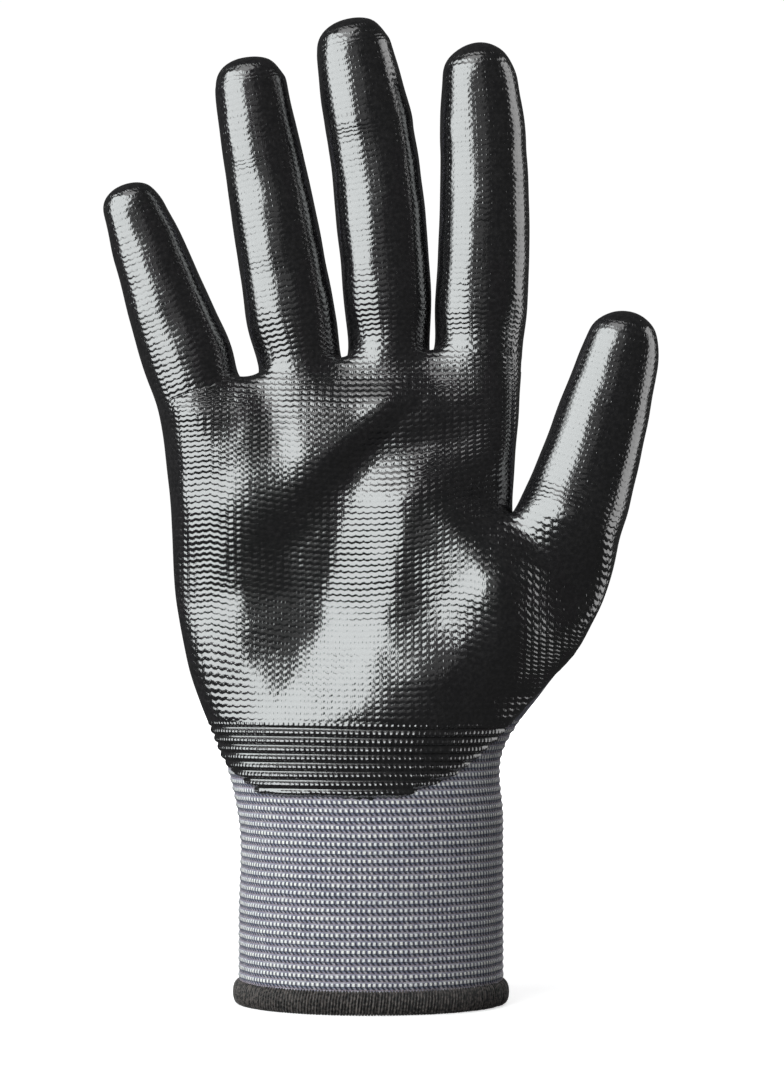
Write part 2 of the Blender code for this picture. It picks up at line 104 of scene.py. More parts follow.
# Folds of the palm: how far each rises, over which heights it swells and fades, and at some heights
# where its little side starts and stops rising and its thumb side starts and stops falling
Fold = namedtuple("Fold", "rise swell fade lines")
FOLDS = (
    # from the heel along the ball of the thumb to the index finger
    Fold(5.4, (57.0, 84.0), (126.0, 144.0),
         ((66.0, -24.0, 26.0, 27.0, 46.0), (78.0, -24.0, 22.0, 24.0, 44.0),
          (94.0, -17.0, 9.0, 27.0, 48.0), (106.0, -15.0, 6.0, 26.0, 46.0),
          (126.0, -11.0, 9.0, 11.0, 30.0), (140.0, 2.0, 16.0, 18.0, 34.0))),
    # heel of the hand
    Fold(2.0, (62.0, 76.0), (80.0, 96.0),
         ((66.0, -38.0, 2.0, 6.0, 30.0), (90.0, -38.0, 6.0, 9.0, 30.0))),
    # between the ball of the thumb and its crotch
    Fold(2.9, (76.0, 96.0), (112.0, 132.0),
         ((88.0, 5.0, 26.0, 28.0, 44.0), (108.0, 7.0, 26.0, 28.0, 42.0), (124.0, 8.0, 24.0, 26.0, 36.0))),
    # along the little-finger side, beside the hollow of the palm
    Fold(2.2, (68.0, 96.0), (106.0, 122.0),
         ((80.0, -50.0, -39.0, -37.0, -19.0), (112.0, -51.0, -38.0, -36.0, -20.0))),
    # full edge below the little finger
    Fold(2.2, (108.0, 124.0), (146.0, 155.0),
         ((116.0, -53.5, -46.5, -45.0, -22.0), (150.0, -56.0, -47.5, -46.0, -22.0))),
    # from the little-finger side up to the roots of the fingers
    Fold(3.6, (102.0, 140.0), (148.0, 157.0),
         ((110.0, -50.0, -39.0, -38.0, -24.0), (120.0, -49.0, -31.0, -30.0, -14.0),
          (126.0, -47.0, -25.0, -24.0, -11.0), (134.0, -46.0, -18.0, -17.0, -5.0),
          (143.0, -44.0, -8.0, -7.0, 4.0), (152.0, -40.0, 0.0, 1.0, 12.0))),
    # crease between the mounds of the ring and little fingers
    Fold(-0.9, (126.0, 142.0), (148.0, 157.0),
         ((128.0, -32.0, -24.0, -24.0, -17.0), (150.0, -35.0, -28.0, -27.0, -20.0))),
    # under the middle finger
    Fold(2.6, (138.0, 147.0), (149.0, 158.0),
         ((140.0, -7.0, 9.0, 11.0, 28.0), (154.0, -9.0, 9.0, 11.0, 28.0))),
)
PALM_FACING = (0.05, 0.5)
THUMB_FORWARD = 6.0
THUMB_FORWARD_X = (15.0, 45.0)
THUMB_FORWARD_Z = (66.0, 101.0)
PALMAR = Vector((0.0, -1.0, 0.0))

# ---------------------------------------------------------------- fine mesh
BAND_TOP = 71.0
CUFF_RINGS = (1.5, 7.0, 13.0, 19.0, 25.0, 31.0, 37.0, 42.0, 47.0, 52.0, 57.0, 62.0, 66.5, BAND_TOP)
PALM_RINGS = (79.0, 88.0, 97.0, 106.0)
ROOT_SHARES = (0.0, 0.135, 0.27)
MIDDLE_SHARES = (0.355, 0.44, 0.52, 0.60)
END_SHARES = (0.66, 0.72)
TIP_SHARES = (1.0, 0.62, 0.28)
FIT_LEVEL = 2
FIT_ROUNDS = 10
FINE_LEVEL = 4
LINING_LEVEL = 2

# ---------------------------------------------------------------- knit
WALE = 1.9
COURSE = 1.45
CUFF_WALES = 80
CUFF_ROW = 2.02
BAND_ROW = 2.1
BAND_FOOT = 51.0
ROW_PHASE = 0.62
CUFF_RIDGE = 0.22
CUFF_STITCH = 0.10
RIB_HEIGHT = 0.6
RIB_LEVEL = 0.6
PALM_MIDDLE_X = -4.0
BACK_MIDDLE_X = -6.0
EDGE_ROUNDING = 15.0
GIRTH_STATION = 0.3
GIRTH_SHARE = 0.96
# Height, wavelength and seed of the knit's slow ripples and of the ripples of the film's edge
RIPPLES = ((0.26, 24.0, 1), (0.09, 9.0, 2))
EDGE_RIPPLES = ((0.5, 14.0, 3), (0.3, 2.6, 4))


def smoothstep(low, high, value):
    """Rise smoothly from 0 at low to 1 at high, for numbers and arrays."""
    share = np.clip((value - low) / (high - low), 0.0, 1.0)
    return share * share * (3.0 - 2.0 * share)


def bell(value, centre, width):
    """Gaussian bump of height 1."""
    return np.exp(-((value - centre) / width) ** 2)


# ---------------------------------------------------------------- the hand's design
def stall_frame(stall, distance):
    """Centre, sideways direction and along direction of a stall at a distance from its root."""
    lean = math.radians(stall.lean)
    along = Vector((-math.sin(lean), 0.0, math.cos(lean)))
    side = Vector((math.cos(lean), 0.0, math.sin(lean)))
    share = distance / stall.length
    centre = Vector(stall.root) + along * distance + side * (stall.bend * share * share)
    centre += PALMAR * (stall.sag * share * share)
    turn = math.atan(2.0 * stall.bend * share / stall.length)
    return (centre,
            side * math.cos(turn) - along * math.sin(turn),
            along * math.cos(turn) + side * math.sin(turn))


def stall_half_width(stall, distance):
    """Half width of the knitted wall of a stall, under its film."""
    pad = stall.length - stall.tip
    stops = [0.0] + [stall.length * share for share in (BASE_STOP,) + stall.knuckles] + [pad]
    half = np.interp(min(distance, pad), stops, stall.widths) / 2.0 - FILM_REACH
    if distance > pad:
        half *= math.sqrt(max(0.0, 1.0 - ((distance - pad) / stall.tip) ** 2))
    return half


def stall_ring(stall, distance):
    """Six points round a stall, from its little side across the palm side and back."""
    centre, side, _ = stall_frame(stall, distance)
    half = stall_half_width(stall, distance)
    deep = half * STALL_DEPTH_RATIO * RING_DEPTH_SHARE
    across = half * RING_SIDE_SHARE
    return [centre - side * half,
            centre - side * across + PALMAR * deep,
            centre + side * across + PALMAR * deep,
            centre + side * half,
            centre + side * across - PALMAR * deep,
            centre - side * across - PALMAR * deep]


def row_at(height):
    """Hand row at any height below the thumb crotch, on a smooth curve through the design rows."""
    heights = np.array([row.height for row in ROWS])
    table = np.array(ROWS, float)
    slopes = np.gradient(table, heights, axis=0)
    slopes[:2] = 0.0
    number = int(np.clip(np.searchsorted(heights, height) - 1, 0, len(ROWS) - 2))
    span = heights[number + 1] - heights[number]
    t = (height - heights[number]) / span
    rise = t * t * (3.0 - 2.0 * t)
    value = (table[number] * (1.0 - rise) + table[number + 1] * rise
             + span * slopes[number] * t * (1.0 - t) ** 2 - span * slopes[number + 1] * t * t * (1.0 - t))
    value[0] = height
    return Row(*value)


def forward_shift(x, height):
    """How far the thumb side of the hand is carried towards the palm."""
    return THUMB_FORWARD * smoothstep(*THUMB_FORWARD_X, x) * smoothstep(*THUMB_FORWARD_Z, height)


def palm_form(x, height):
    """How far the mounds and folds of the palm stand out from its plain rows."""
    form = 0.0
    for fold in FOLDS:
        heights, *lines = np.array(fold.lines).T
        foot, top, brow, end = (np.interp(height, heights, line) for line in lines)
        share = smoothstep(*fold.swell, height) * (1.0 - smoothstep(*fold.fade, height))
        form = form + fold.rise * share * (smoothstep(foot, top, x) - smoothstep(brow, end, x))
    return form


def form_palm(skin, cage):
    """Push the palm side of a fine mesh out into its mounds and folds."""
    points = skin.points
    normals = vertex_normals(points, skin.faces)
    front = smoothstep(*PALM_FACING, -normals[:, 1]) * vertex_zones(skin, cage, ["cuff", "palm"])
    points[:, 1] -= palm_form(points[:, 0], points[:, 2]) * front


def palm_point(row, share, side):
    """Point of a hand row at a share of its width, on the palm (+1), the back (-1) or the edge (0)."""
    x = row.little_edge + (row.thumb_edge - row.little_edge) * share
    depth = row.front if side > 0 else row.back
    depth *= max(0.0, 1.0 - abs(2.0 * share - 1.0) ** row.power) ** (1.0 / row.power)
    return Vector((x, -forward_shift(x, row.height) - side * depth, row.height))


def column_shares():
    """Shares of the hand's width at the ten palm columns: on a round tube, and under the stalls."""
    round_shares = [(1.0 - math.cos(math.pi * (column + 1) / 11.0)) / 2.0 for column in range(10)]
    roots = [stall_ring(stall, 0.0) for stall in STALLS]
    first = roots[0][0].x
    last = roots[-1][3].x
    finger_shares = [(root[place].x - first) / (last - first) for root in roots for place in (1, 2)]
    thumb = stall_ring(THUMB, 0.0)
    palm_width = CROTCH_ROW.thumb_edge - CROTCH_ROW.little_edge
    whole_width = thumb[3].x - CROTCH_ROW.little_edge
    spread = [share * palm_width / whole_width for share in finger_shares]
    spread += [(thumb[place].x - CROTCH_ROW.little_edge) / whole_width for place in (1, 2)]
    return round_shares, finger_shares, spread


def closed_row(row, shares):
    """Ring of a hand row: palm columns, thumb edge, back columns and little-finger edge."""
    ring = [palm_point(row, share, 1) for share in shares]
    ring.append(palm_point(row, 1.0, 0))
    ring += [palm_point(row, share, -1) for share in reversed(shares)]
    ring.append(palm_point(row, 0.0, 0))
    return ring


class Cage:
    """Coarse quad cage of the hand. Each face has a zone, and each corner a place and a station."""

    def __init__(self):
        self.points = []
        self.faces = []
        self.places = []
        self.zone_of = []
        self.zones = []

    def ring(self, points):
        """Add points and return their numbers."""
        first = len(self.points)
        self.points += points
        return list(range(first, len(self.points)))

    def face(self, corners, zone, places):
        """Add one face of a zone."""
        if zone not in self.zones:
            self.zones.append(zone)
        self.faces.append(corners)
        self.places += places
        self.zone_of.append(self.zones.index(zone))

    def band(self, lower, upper, zone, low, high):
        """Join two closed rings by faces, whose stations run from low to high."""
        count = len(lower)
        for place in range(count):
            after = (place + 1) % count
            self.face((lower[place], lower[after], upper[after], upper[place]), zone,
                      [(place, low), (place + 1, low), (place + 1, high), (place, high)])


def add_stall(cage, stall, hole):
    """Build one stall on its hole in the palm."""
    pad = 1.0 - stall.tip / stall.length
    stations = [(share, "root") for share in ROOT_SHARES[1:]]
    stations += [(share, "middle") for share in MIDDLE_SHARES]
    stations += [(share, "end") for share in END_SHARES if share < pad - 0.04]
    stations += [(1.0 - (1.0 - pad) * share, "end") for share in TIP_SHARES]
    ring = hole
    low = 0.0
    for share, part in stations:
        if stall is THUMB and part == "middle":
            part = "end"
        zone = stall.name + "_" + part
        distance = share * stall.length
        above = cage.ring(stall_ring(stall, distance))
        cage.band(ring, above, zone, low, distance)
        ring = above
        low = distance
    centre = stall_frame(stall, stall.length - FILM_REACH)[0]
    end = cage.ring([centre])[0]
    for place in (0, 2, 4):
        after = (place + 2) % STALL_PLACES
        cage.face((ring[place], ring[place + 1], ring[after], end), stall.name + "_end",
                  [(place, low), (place + 1, low), (place + 2, low), (place + 1, stall.length)])


def build_cage():
    """The whole hand from the cuff edge to the fingertips."""
    cage = Cage()
    round_shares, finger_shares, spread_shares = column_shares()
    ring = None
    for height in CUFF_RINGS + PALM_RINGS:
        row = row_at(height)
        shares = [low + (high - low) * row.spread for low, high in zip(round_shares, spread_shares)]
        above = cage.ring(closed_row(row, shares))
        if ring:
            cage.band(ring, above, "cuff" if height <= BAND_TOP else "palm", below, height)
        ring = above
        below = height

    # The thumb crotch splits the hand into the four-finger part and the thumb's hole.
    fingers = cage.ring(closed_row(CROTCH_ROW, finger_shares))
    hole = cage.ring(stall_ring(THUMB, 0.0))
    above = fingers[:8] + hole[1:6] + fingers[9:]
    cage.band(ring, above, "palm", below, CROTCH_ROW.height)
    level = CROTCH_ROW.height
    cage.face((fingers[7], hole[1], hole[0], fingers[8]), "palm",
              [(7, level), (8, level), (8, level), (8, level)])
    cage.face((fingers[8], hole[0], hole[5], fingers[9]), "palm",
              [(12, level), (12, level), (12, level), (13, level)])
    add_stall(cage, THUMB, hole)

    ring = cage.ring(closed_row(KNUCKLE_ROW, finger_shares))
    cage.band(fingers, ring, "palm", CROTCH_ROW.height, KNUCKLE_ROW.height)
    holes = [cage.ring(stall_ring(stall, 0.0)) for stall in STALLS]
    top = [hole[place] for hole in holes for place in (1, 2)] + [holes[-1][3]]
    top += [hole[place] for hole in reversed(holes) for place in (4, 5)] + [holes[0][0]]
    level = STALLS[1].root[2]
    cage.band(ring, top, "palm", KNUCKLE_ROW.height, level)
    for number, (hole, after) in enumerate(zip(holes, holes[1:])):
        front = 2 * number + 1
        back = 16 - 2 * number
        cage.face((hole[2], after[1], after[0], hole[3]), "palm",
                  [(front, level), (front + 1, level), (front + 1, level), (front, level)])
        cage.face((hole[3], after[0], after[5], hole[4]), "palm",
                  [(back, level), (back - 1, level), (back - 1, level), (back, level)])
    for stall, hole in zip(STALLS, holes):
        add_stall(cage, stall, hole)
    return cage


# ---------------------------------------------------------------- fine mesh
Skin = namedtuple("Skin", "points faces zone place station")


def evaluated(holder, level):
    """Mesh of the cage at a subdivision level."""
    holder.modifiers["smooth"].levels = level
    graph = bpy.context.evaluated_depsgraph_get()
    graph.update()
    return bpy.data.meshes.new_from_object(holder.evaluated_get(graph))


def coordinates(mesh):
    """Vertex places of a mesh as an array."""
    found = np.empty(len(mesh.vertices) * 3)
    mesh.vertices.foreach_get("co", found)
    return found.reshape(-1, 3)


def fitted_cage(cage):
    """Cage object whose smooth surface passes through the design points."""
    mesh = bpy.data.meshes.new("hand_cage")
    mesh.from_pydata([tuple(point) for point in cage.points], [], cage.faces)
    mesh.attributes.new("zone", "INT", "FACE").data.foreach_set("value", cage.zone_of)
    layer = mesh.uv_layers.new(name="place")
    layer.data.foreach_set("uv", np.array(cage.places, float).ravel())
    holder = bpy.data.objects.new("hand_cage", mesh)
    bpy.context.scene.collection.objects.link(holder)
    smooth = holder.modifiers.new("smooth", "SUBSURF")
    smooth.uv_smooth = "NONE"
    targets = coordinates(mesh)
    moved = targets.copy()
    for _ in range(FIT_ROUNDS):
        reached = evaluated(holder, FIT_LEVEL)
        moved += targets - coordinates(reached)[:len(targets)]
        bpy.data.meshes.remove(reached)
        mesh.vertices.foreach_set("co", moved.ravel())
        mesh.update()
    return holder


def read_skin(holder, level):
    """Fine mesh of the hand as arrays."""
    mesh = evaluated(holder, level)
    count = len(mesh.polygons)
    faces = np.empty(count * 4, np.int32)
    mesh.loops.foreach_get("vertex_index", faces)
    zone = np.empty(count, np.int32)
    mesh.attributes["zone"].data.foreach_get("value", zone)
    uv = np.empty(count * 8)
    mesh.uv_layers["place"].data.foreach_get("uv", uv)
    uv = uv.reshape(-1, 4, 2)
    skin = Skin(coordinates(mesh), faces.reshape(-1, 4), zone, uv[..., 0], uv[..., 1])
    bpy.data.meshes.remove(mesh)
    return skin


def vertex_normals(points, faces):
    """Area-weighted normals of a quad mesh."""
    first = points[faces[:, 2]] - points[faces[:, 0]]
    second = points[faces[:, 3]] - points[faces[:, 1]]
    across = np.cross(first, second)
    normals = np.zeros_like(points)
    for axis in range(3):
        for corner in range(4):
            normals[:, axis] += np.bincount(faces[:, corner], across[:, axis], len(points))
    return normals / np.maximum(np.linalg.norm(normals, axis=1), 1e-12)[:, None]


def stall_zones(cage, stall):
    """Names of a stall's zones."""
    return [name for name in cage.zones if name.startswith(stall.name)]


def at_vertices(skin, corner_values):
    """Value of one of the corners that meet at each vertex."""
    found = np.zeros(len(skin.points))
    found[skin.faces.ravel()] = corner_values.ravel()
    return found


def vertex_zones(skin, cage, names):
    """True at each vertex of the named zones."""
    numbers = [cage.zones.index(name) for name in names]
    found = np.zeros(len(skin.points), bool)
    found[skin.faces[np.isin(skin.zone, numbers)].ravel()] = True
    return found


# ---------------------------------------------------------------- knit coordinates
def cuff_rows(height):
    """Number of the cuff's knitted row at a height."""
    return np.minimum(height, BAND_FOOT) / CUFF_ROW + np.maximum(height - BAND_FOOT, 0.0) / BAND_ROW


def palm_rows(points):
    """Number of the course at a point of the palm: rows sag in the hollow and arch over the thumb."""
    x, z = points[:, 0], points[:, 2]
    level = smoothstep(BAND_TOP, 96.0, z) * (1.0 - smoothstep(131.0, 166.0, z))
    sag = 60.0 * (np.sqrt(1.0 + ((x + 4.0) / 95.0) ** 2) - 1.0)
    droop = 0.35 * np.maximum(-42.0 - x, 0.0)
    arch = 2.4 * bell(x, 17.0, 12.0) * bell(z, 103.0, 17.0)
    plain = z - (sag - droop) * level - arch
    lean = math.radians(THUMB.lean)
    root = np.array(THUMB.root)
    thumb = (points - root) @ np.array((-math.sin(lean), 0.0, math.cos(lean)))
    thumb = THUMB.root[2] + thumb * 0.8
    share = smoothstep(8.0, 40.0, x) * smoothstep(74.0, 96.0, z)
    share *= 1.0 - smoothstep(122.0, 146.0, z) * (x < 34.0)
    return (plain * (1.0 - share) + thumb * share) / COURSE


def palm_wales(points, normals, middle):
    """Number of the wale at a point of the hand, by its distance round from the middle line."""
    turn = np.arctan2(np.abs(normals[:, 0]), np.abs(normals[:, 1]))
    round_edge = EDGE_ROUNDING * (turn - np.sin(turn))
    return (points[:, 0] - middle + np.sign(normals[:, 0]) * round_edge) / WALE


# ---------------------------------------------------------------- film outline
FILM_FOOT = ((-44.0, 59.0), (-36.5, 57.0), (-29.8, 53.0), (-20.0, 52.4), (4.8, 52.2), (14.8, 56.0),
             (24.0, 61.0), (29.8, 64.5), (34.0, 69.0), (44.8, 78.3), (56.0, 86.0))
FILM_WRAP = 3.0
TIP_WRAP = 15.0
EDGE_CORNER = 4.0
# How deep the film's rim is sunk in the knit, where it rises out of it, and how far film and knit reach
# past each other under and over the rim
RIM_SINK = 0.7
RIM_RISE = (-1.6, 2.2)
FILM_OVERLAP = -1.8
KNIT_OVERLAP = 1.4
# Share of the stitches that shows through the film: low and high on the palm, and on the stalls
SHOW_PALM = (0.9, 1.4)
SHOW_HEIGHTS = (100.0, 130.0)
SHOW_STALL = 0.5
SHOW_STALL_SHARE = 0.35


def ripple(points, wavelength, seed):
    """Smooth random field from -1 to 1 with features about a wavelength apart."""
    rng = np.random.default_rng(seed)
    total = np.zeros(len(points))
    for _ in range(7):
        direction = rng.normal(size=3)
        direction /= np.linalg.norm(direction)
        scale = wavelength * rng.uniform(0.75, 1.5)
        total += np.sin(points @ direction * (2.0 * math.pi / scale) + rng.uniform(0.0, 6.28))
    return total / 4.0


def film_inset(skin, cage, points, station):
    """Distance of each vertex inside the film's edge, negative on bare knit."""
    x, y, z = points.T
    middle_y = -forward_shift(x, z) * (1.0 - smoothstep(122.0, 156.0, z) * (x < 34.0))
    wrap = np.full(len(points), FILM_WRAP)
    thumb_side = smoothstep(10.0, 28.0, x)
    wrap -= thumb_side * 8.0 * (1.0 - smoothstep(68.0, 96.0, z))
    wrap -= (1.0 - thumb_side) * 3.0 * (1.0 - smoothstep(56.0, 76.0, z))
    end_inset = np.full(len(points), -50.0)
    for stall in ALL_STALLS:
        here = vertex_zones(skin, cage, stall_zones(cage, stall))
        share = station[here] / stall.length
        middle_y[here] = stall.root[1] - stall.sag * share * share
        end_inset[here] = station[here] - (stall.length - TIP_WRAP)
    inset = middle_y + wrap - y
    foot = np.interp(x, *np.array(FILM_FOOT).T)
    above = z - foot
    inset = -EDGE_CORNER * np.log(np.exp(-inset / EDGE_CORNER) + np.exp(-above / EDGE_CORNER))
    inset = EDGE_CORNER * np.log(np.exp(inset / EDGE_CORNER) + np.exp(end_inset / EDGE_CORNER))
    for size, wavelength, seed in EDGE_RIPPLES:
        inset = inset + size * ripple(points, wavelength, seed)
    return inset


# ---------------------------------------------------------------- pieces
Piece = namedtuple("Piece", "zone bodies start end")
ROOT_START = 0.8
ROOT_END = 0.4


def stall_pieces(stall):
    """Where each length of a stall bends: its zone, its two bodies, and the ends of the bend."""
    lengths = [("root", "palm", "base", 0.0, 0.27)]
    if stall is THUMB:
        lengths.append(("end", "base", "tip", 0.28, 0.66))
    else:
        lengths.append(("middle", "base", "middle", 0.275, 0.60))
        lengths.append(("end", "middle", "tip", 0.61, 0.84))
    pieces = []
    for part, lower, upper, low, high in lengths:
        lower = "palm" if lower == "palm" else stall.name + "_" + lower
        start = stall_frame(stall, low * stall.length + (ROOT_START if part == "root" else 0.0))[0]
        end = stall_frame(stall, high * stall.length - (ROOT_END if part == "root" else 0.0))[0]
        pieces.append(Piece(stall.name + "_" + part, (lower, stall.name + "_" + upper),
                            tuple(start * MM), tuple(end * MM)))
    return pieces


PIECES = [Piece("cuff", ("cuff", "palm"), (0.0, 0.0, 0.036), (0.0, 0.0, 0.058)),
          Piece("palm", ("palm",), None, None)]
for each in ALL_STALLS:
    PIECES += stall_pieces(each)


def cad_name(layer, zone):
    """CAD node that a piece stands for."""
    stall, _, part = zone.partition("_")
    part = {"root": "base", "middle": "middle", "end": "tip"}.get(part, "")
    name = stall + "_" + part if part else stall
    return {"film": "coating_", "knit": "liner_"}[layer] + name


def add_piece(name, points, normals, faces, knit_uv, material, piece, finish=None):
    """Mesh object of some faces, with shading that runs on across its cut edges."""
    used, compact = np.unique(faces.ravel(), return_inverse=True)
    mesh = bpy.data.meshes.new(name)
    mesh.vertices.add(len(used))
    mesh.vertices.foreach_set("co", (points[used] * MM).ravel())
    mesh.loops.add(faces.size)
    mesh.loops.foreach_set("vertex_index", compact.astype(np.int32))
    mesh.polygons.add(len(faces))
    mesh.polygons.foreach_set("loop_start", np.arange(0, faces.size, 4, dtype=np.int32))
    mesh.update(calc_edges=True)
    mesh.polygons.foreach_set("use_smooth", np.ones(len(faces), bool))
    if knit_uv is not None:
        layer = mesh.uv_layers.new(name="knit")
        layer.data.foreach_set("uv", knit_uv.ravel())
    if finish is not None:
        layer = mesh.uv_layers.new(name="finish")
        layer.data.foreach_set("uv", np.stack((finish, finish), axis=-1).ravel())
    mesh.validate(clean_customdata=False)
    mesh.normals_split_custom_set_from_vertices(normals[used].tolist())
    mesh.materials.append(material)
    made = bpy.data.objects.new(name, mesh)
    bpy.context.scene.collection.objects.link(made)
    if piece.start:
        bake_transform(made)
    else:
        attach(made, piece.bodies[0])
    return made


# ---------------------------------------------------------------- shader arithmetic
class Value:
    """A socket whose Python operators add Math nodes."""

    def __init__(self, tree, socket):
        self.tree = tree
        self.socket = socket

    def math(self, operation, *others):
        """Math node of this value and others."""
        node = self.tree.nodes.new("ShaderNodeMath")
        node.operation = operation
        for number, value in enumerate((self,) + others):
            if isinstance(value, Value):
                self.tree.links.new(value.socket, node.inputs[number])
            else:
                node.inputs[number].default_value = value
        return Value(self.tree, node.outputs[0])

    def __add__(self, other):
        return self.math("ADD", other)

    def __sub__(self, other):
        return self.math("SUBTRACT", other)

    def __mul__(self, other):
        return self.math("MULTIPLY", other)

    __radd__ = __add__
    __rmul__ = __mul__

    def fraction(self):
        """Fractional part."""
        return self.math("FRACT")

    def floor(self):
        """Whole part."""
        return self.math("FLOOR")

    def wave(self):
        """Cosine wave from 0 to 1 that peaks at whole numbers."""
        return (self * (2.0 * math.pi)).math("COSINE") * 0.5 + 0.5

    def zigzag(self):
        """Triangle wave from 0 at whole numbers to 1 midway."""
        return (self.fraction() - 0.5).math("ABSOLUTE") * -2.0 + 1.0

    def rise(self, low, high):
        """Smooth step from 0 at low to 1 at high."""
        node = self.tree.nodes.new("ShaderNodeMapRange")
        node.interpolation_type = "SMOOTHSTEP"
        self.tree.links.new(self.socket, node.inputs["Value"])
        node.inputs["From Min"].default_value = low
        node.inputs["From Max"].default_value = high
        return Value(self.tree, node.outputs["Result"])


def knit_coordinates(tree, layer="knit"):
    """Wale and course numbers of a surface point, or the two values of another UV layer."""
    node = tree.nodes.new("ShaderNodeUVMap")
    node.uv_map = layer
    split = tree.nodes.new("ShaderNodeSeparateXYZ")
    tree.links.new(node.outputs[0], split.inputs[0])
    return Value(tree, split.outputs[0]), Value(tree, split.outputs[1])


def noise(tree, scale, detail=2.0, roughness=0.5):
    """Noise of the object's own coordinates, with features scale metres apart."""
    place = tree.nodes.new("ShaderNodeTexCoord")
    node = tree.nodes.new("ShaderNodeTexNoise")
    node.inputs["Scale"].default_value = 1.0 / scale
    node.inputs["Detail"].default_value = detail
    node.inputs["Roughness"].default_value = roughness
    tree.links.new(place.outputs["Object"], node.inputs["Vector"])
    return Value(tree, node.outputs["Fac"])


def cell_random(tree, u, v):
    """Random value of a stitch from its whole wale and course numbers."""
    join = tree.nodes.new("ShaderNodeCombineXYZ")
    tree.links.new(u.floor().socket, join.inputs[0])
    tree.links.new(v.floor().socket, join.inputs[1])
    node = tree.nodes.new("ShaderNodeTexWhiteNoise")
    node.noise_dimensions = "2D"
    tree.links.new(join.outputs[0], node.inputs["Vector"])
    return Value(tree, node.outputs["Value"])


def mix(tree, share, first, second):
    """Colour between two colours or sockets."""
    node = tree.nodes.new("ShaderNodeMix")
    node.data_type = "RGBA"
    if isinstance(share, Value):
        tree.links.new(share.socket, node.inputs[0])
    else:
        node.inputs[0].default_value = share
    for place, colour in ((6, first), (7, second)):
        if isinstance(colour, tuple):
            node.inputs[place].default_value = (*colour, 1.0)
        else:
            tree.links.new(colour, node.inputs[place])
    return node.outputs[2]


def bump(tree, height, distance, previous=None):
    """Relief from a height value between 0 and 1."""
    node = tree.nodes.new("ShaderNodeBump")
    node.inputs["Distance"].default_value = distance
    tree.links.new(height.socket, node.inputs["Height"])
    if previous:
        tree.links.new(previous, node.inputs["Normal"])
    return node.outputs[0]


def new_material(name):
    """Empty Principled material, its node tree and its shader."""
    material = bpy.data.materials.new(name)
    material.use_nodes = True
    tree = material.node_tree
    return material, tree, tree.nodes["Principled BSDF"]


def dress(tree, shader, colour, normal, settings):
    """Give a shader its colour, its relief and the settings that are even all over."""
    tree.links.new(colour, shader.inputs["Base Color"])
    tree.links.new(normal, shader.inputs["Normal"])
    for name, value in settings.items():
        shader.inputs[name].default_value = value


def film_material(name, banded):
    """Glossy black nitrile over the knit. The banded one covers the cuff's coarse rows."""
    material, tree, shader = new_material(name)
    u, v = knit_coordinates(tree)
    cloud = noise(tree, 0.011, 3.0)
    grain = noise(tree, 0.0009, 2.0)
    peel = noise(tree, 0.0035, 3.0)
    wander = noise(tree, 0.010, 2.0) * 0.4 - 0.2
    pick = cell_random(tree, u * 2.0, v)
    if banded:
        relief = ((u * 2.0).wave() * 0.7 + u.wave() * 0.3) * (v + 0.38).wave()
        depth = 0.00022
    else:
        relief = (v + wander + u.zigzag() * 0.24).wave().math("POWER", 0.6)
        depth = 0.00010
    beads = (u * 2.0 + 0.5).wave().rise(0.55, 1.0) * (v + wander + 0.5).wave().rise(0.5, 1.0) * pick
    normal = bump(tree, peel, 0.00012)
    normal = bump(tree, grain, 0.000035, normal)
    normal = bump(tree, beads, 0.00004, normal)
    show = cloud.rise(0.3, 0.7) * 0.7 + 0.55
    if not banded:
        show = show * knit_coordinates(tree, "finish")[0]
    normal = bump(tree, relief * show, depth, normal)
    colour = mix(tree, grain.rise(0.3, 0.8), (0.006, 0.006, 0.007), (0.022, 0.021, 0.022))
    rough = cloud * 0.06 + grain * 0.05 - relief * 0.08 + 0.17
    tree.links.new(rough.socket, shader.inputs["Roughness"])
    tree.links.new(normal, shader.inputs["Coat Normal"])
    dress(tree, shader, colour, normal, {"Specular IOR Level": 1.0, "IOR": 1.7, "Coat Weight": 0.6,
                                         "Coat IOR": 1.8, "Coat Roughness": 0.10})
    return material


def marl(tree, u, v, tint):
    """Melange of dark, blue-grey, lavender and white fibres, stitch by stitch."""
    pick = cell_random(tree, u, v)
    fibre = noise(tree, 0.00035, 2.0)
    ramp = tree.nodes.new("ShaderNodeValToRGB")
    stops = ramp.color_ramp.elements
    for number, (place, colour) in enumerate(tint):
        stop = stops[number] if number < 2 else stops.new(place)
        stop.position = place
        stop.color = (*colour, 1.0)
    mixed = pick * 0.55 + fibre * 0.75 - 0.15
    tree.links.new(mixed.socket, ramp.inputs[0])
    return ramp.outputs[0]


FIBRE = 0.0003
MARL = ((0.0, (0.06, 0.065, 0.11)), (0.3, (0.19, 0.20, 0.30)), (0.6, (0.42, 0.41, 0.50)),
        (1.0, (0.80, 0.79, 0.79)))


def knit_material(name):
    """Plain marl knit: columns of V-shaped stitches, with painted shade in the grooves between their legs.
    """
    material, tree, shader = new_material(name)
    u, v = knit_coordinates(tree)
    side = u.zigzag()
    bent = v - side * 0.55
    leg = bent.wave()
    groove = side.rise(0.02, 0.22) * (side * -1.0 + 1.0).rise(0.0, 0.15)
    relief = leg * groove
    colour = marl(tree, u * 2.0, bent, MARL)
    # Painted shade: the marl darkens toward near-black blue in the grooves between the stitch legs, where
    # the relief is low.
    shaded = mix(tree, relief * 0.65 + 0.35, (0.05, 0.053, 0.08), colour)
    normal = bump(tree, noise(tree, FIBRE, 2.0), 0.00005)
    normal = bump(tree, relief, 0.0003, normal)
    dress(tree, shader, shaded, normal, {"Roughness": 0.85, "Sheen Weight": 0.25, "Sheen Roughness": 0.5})
    return material


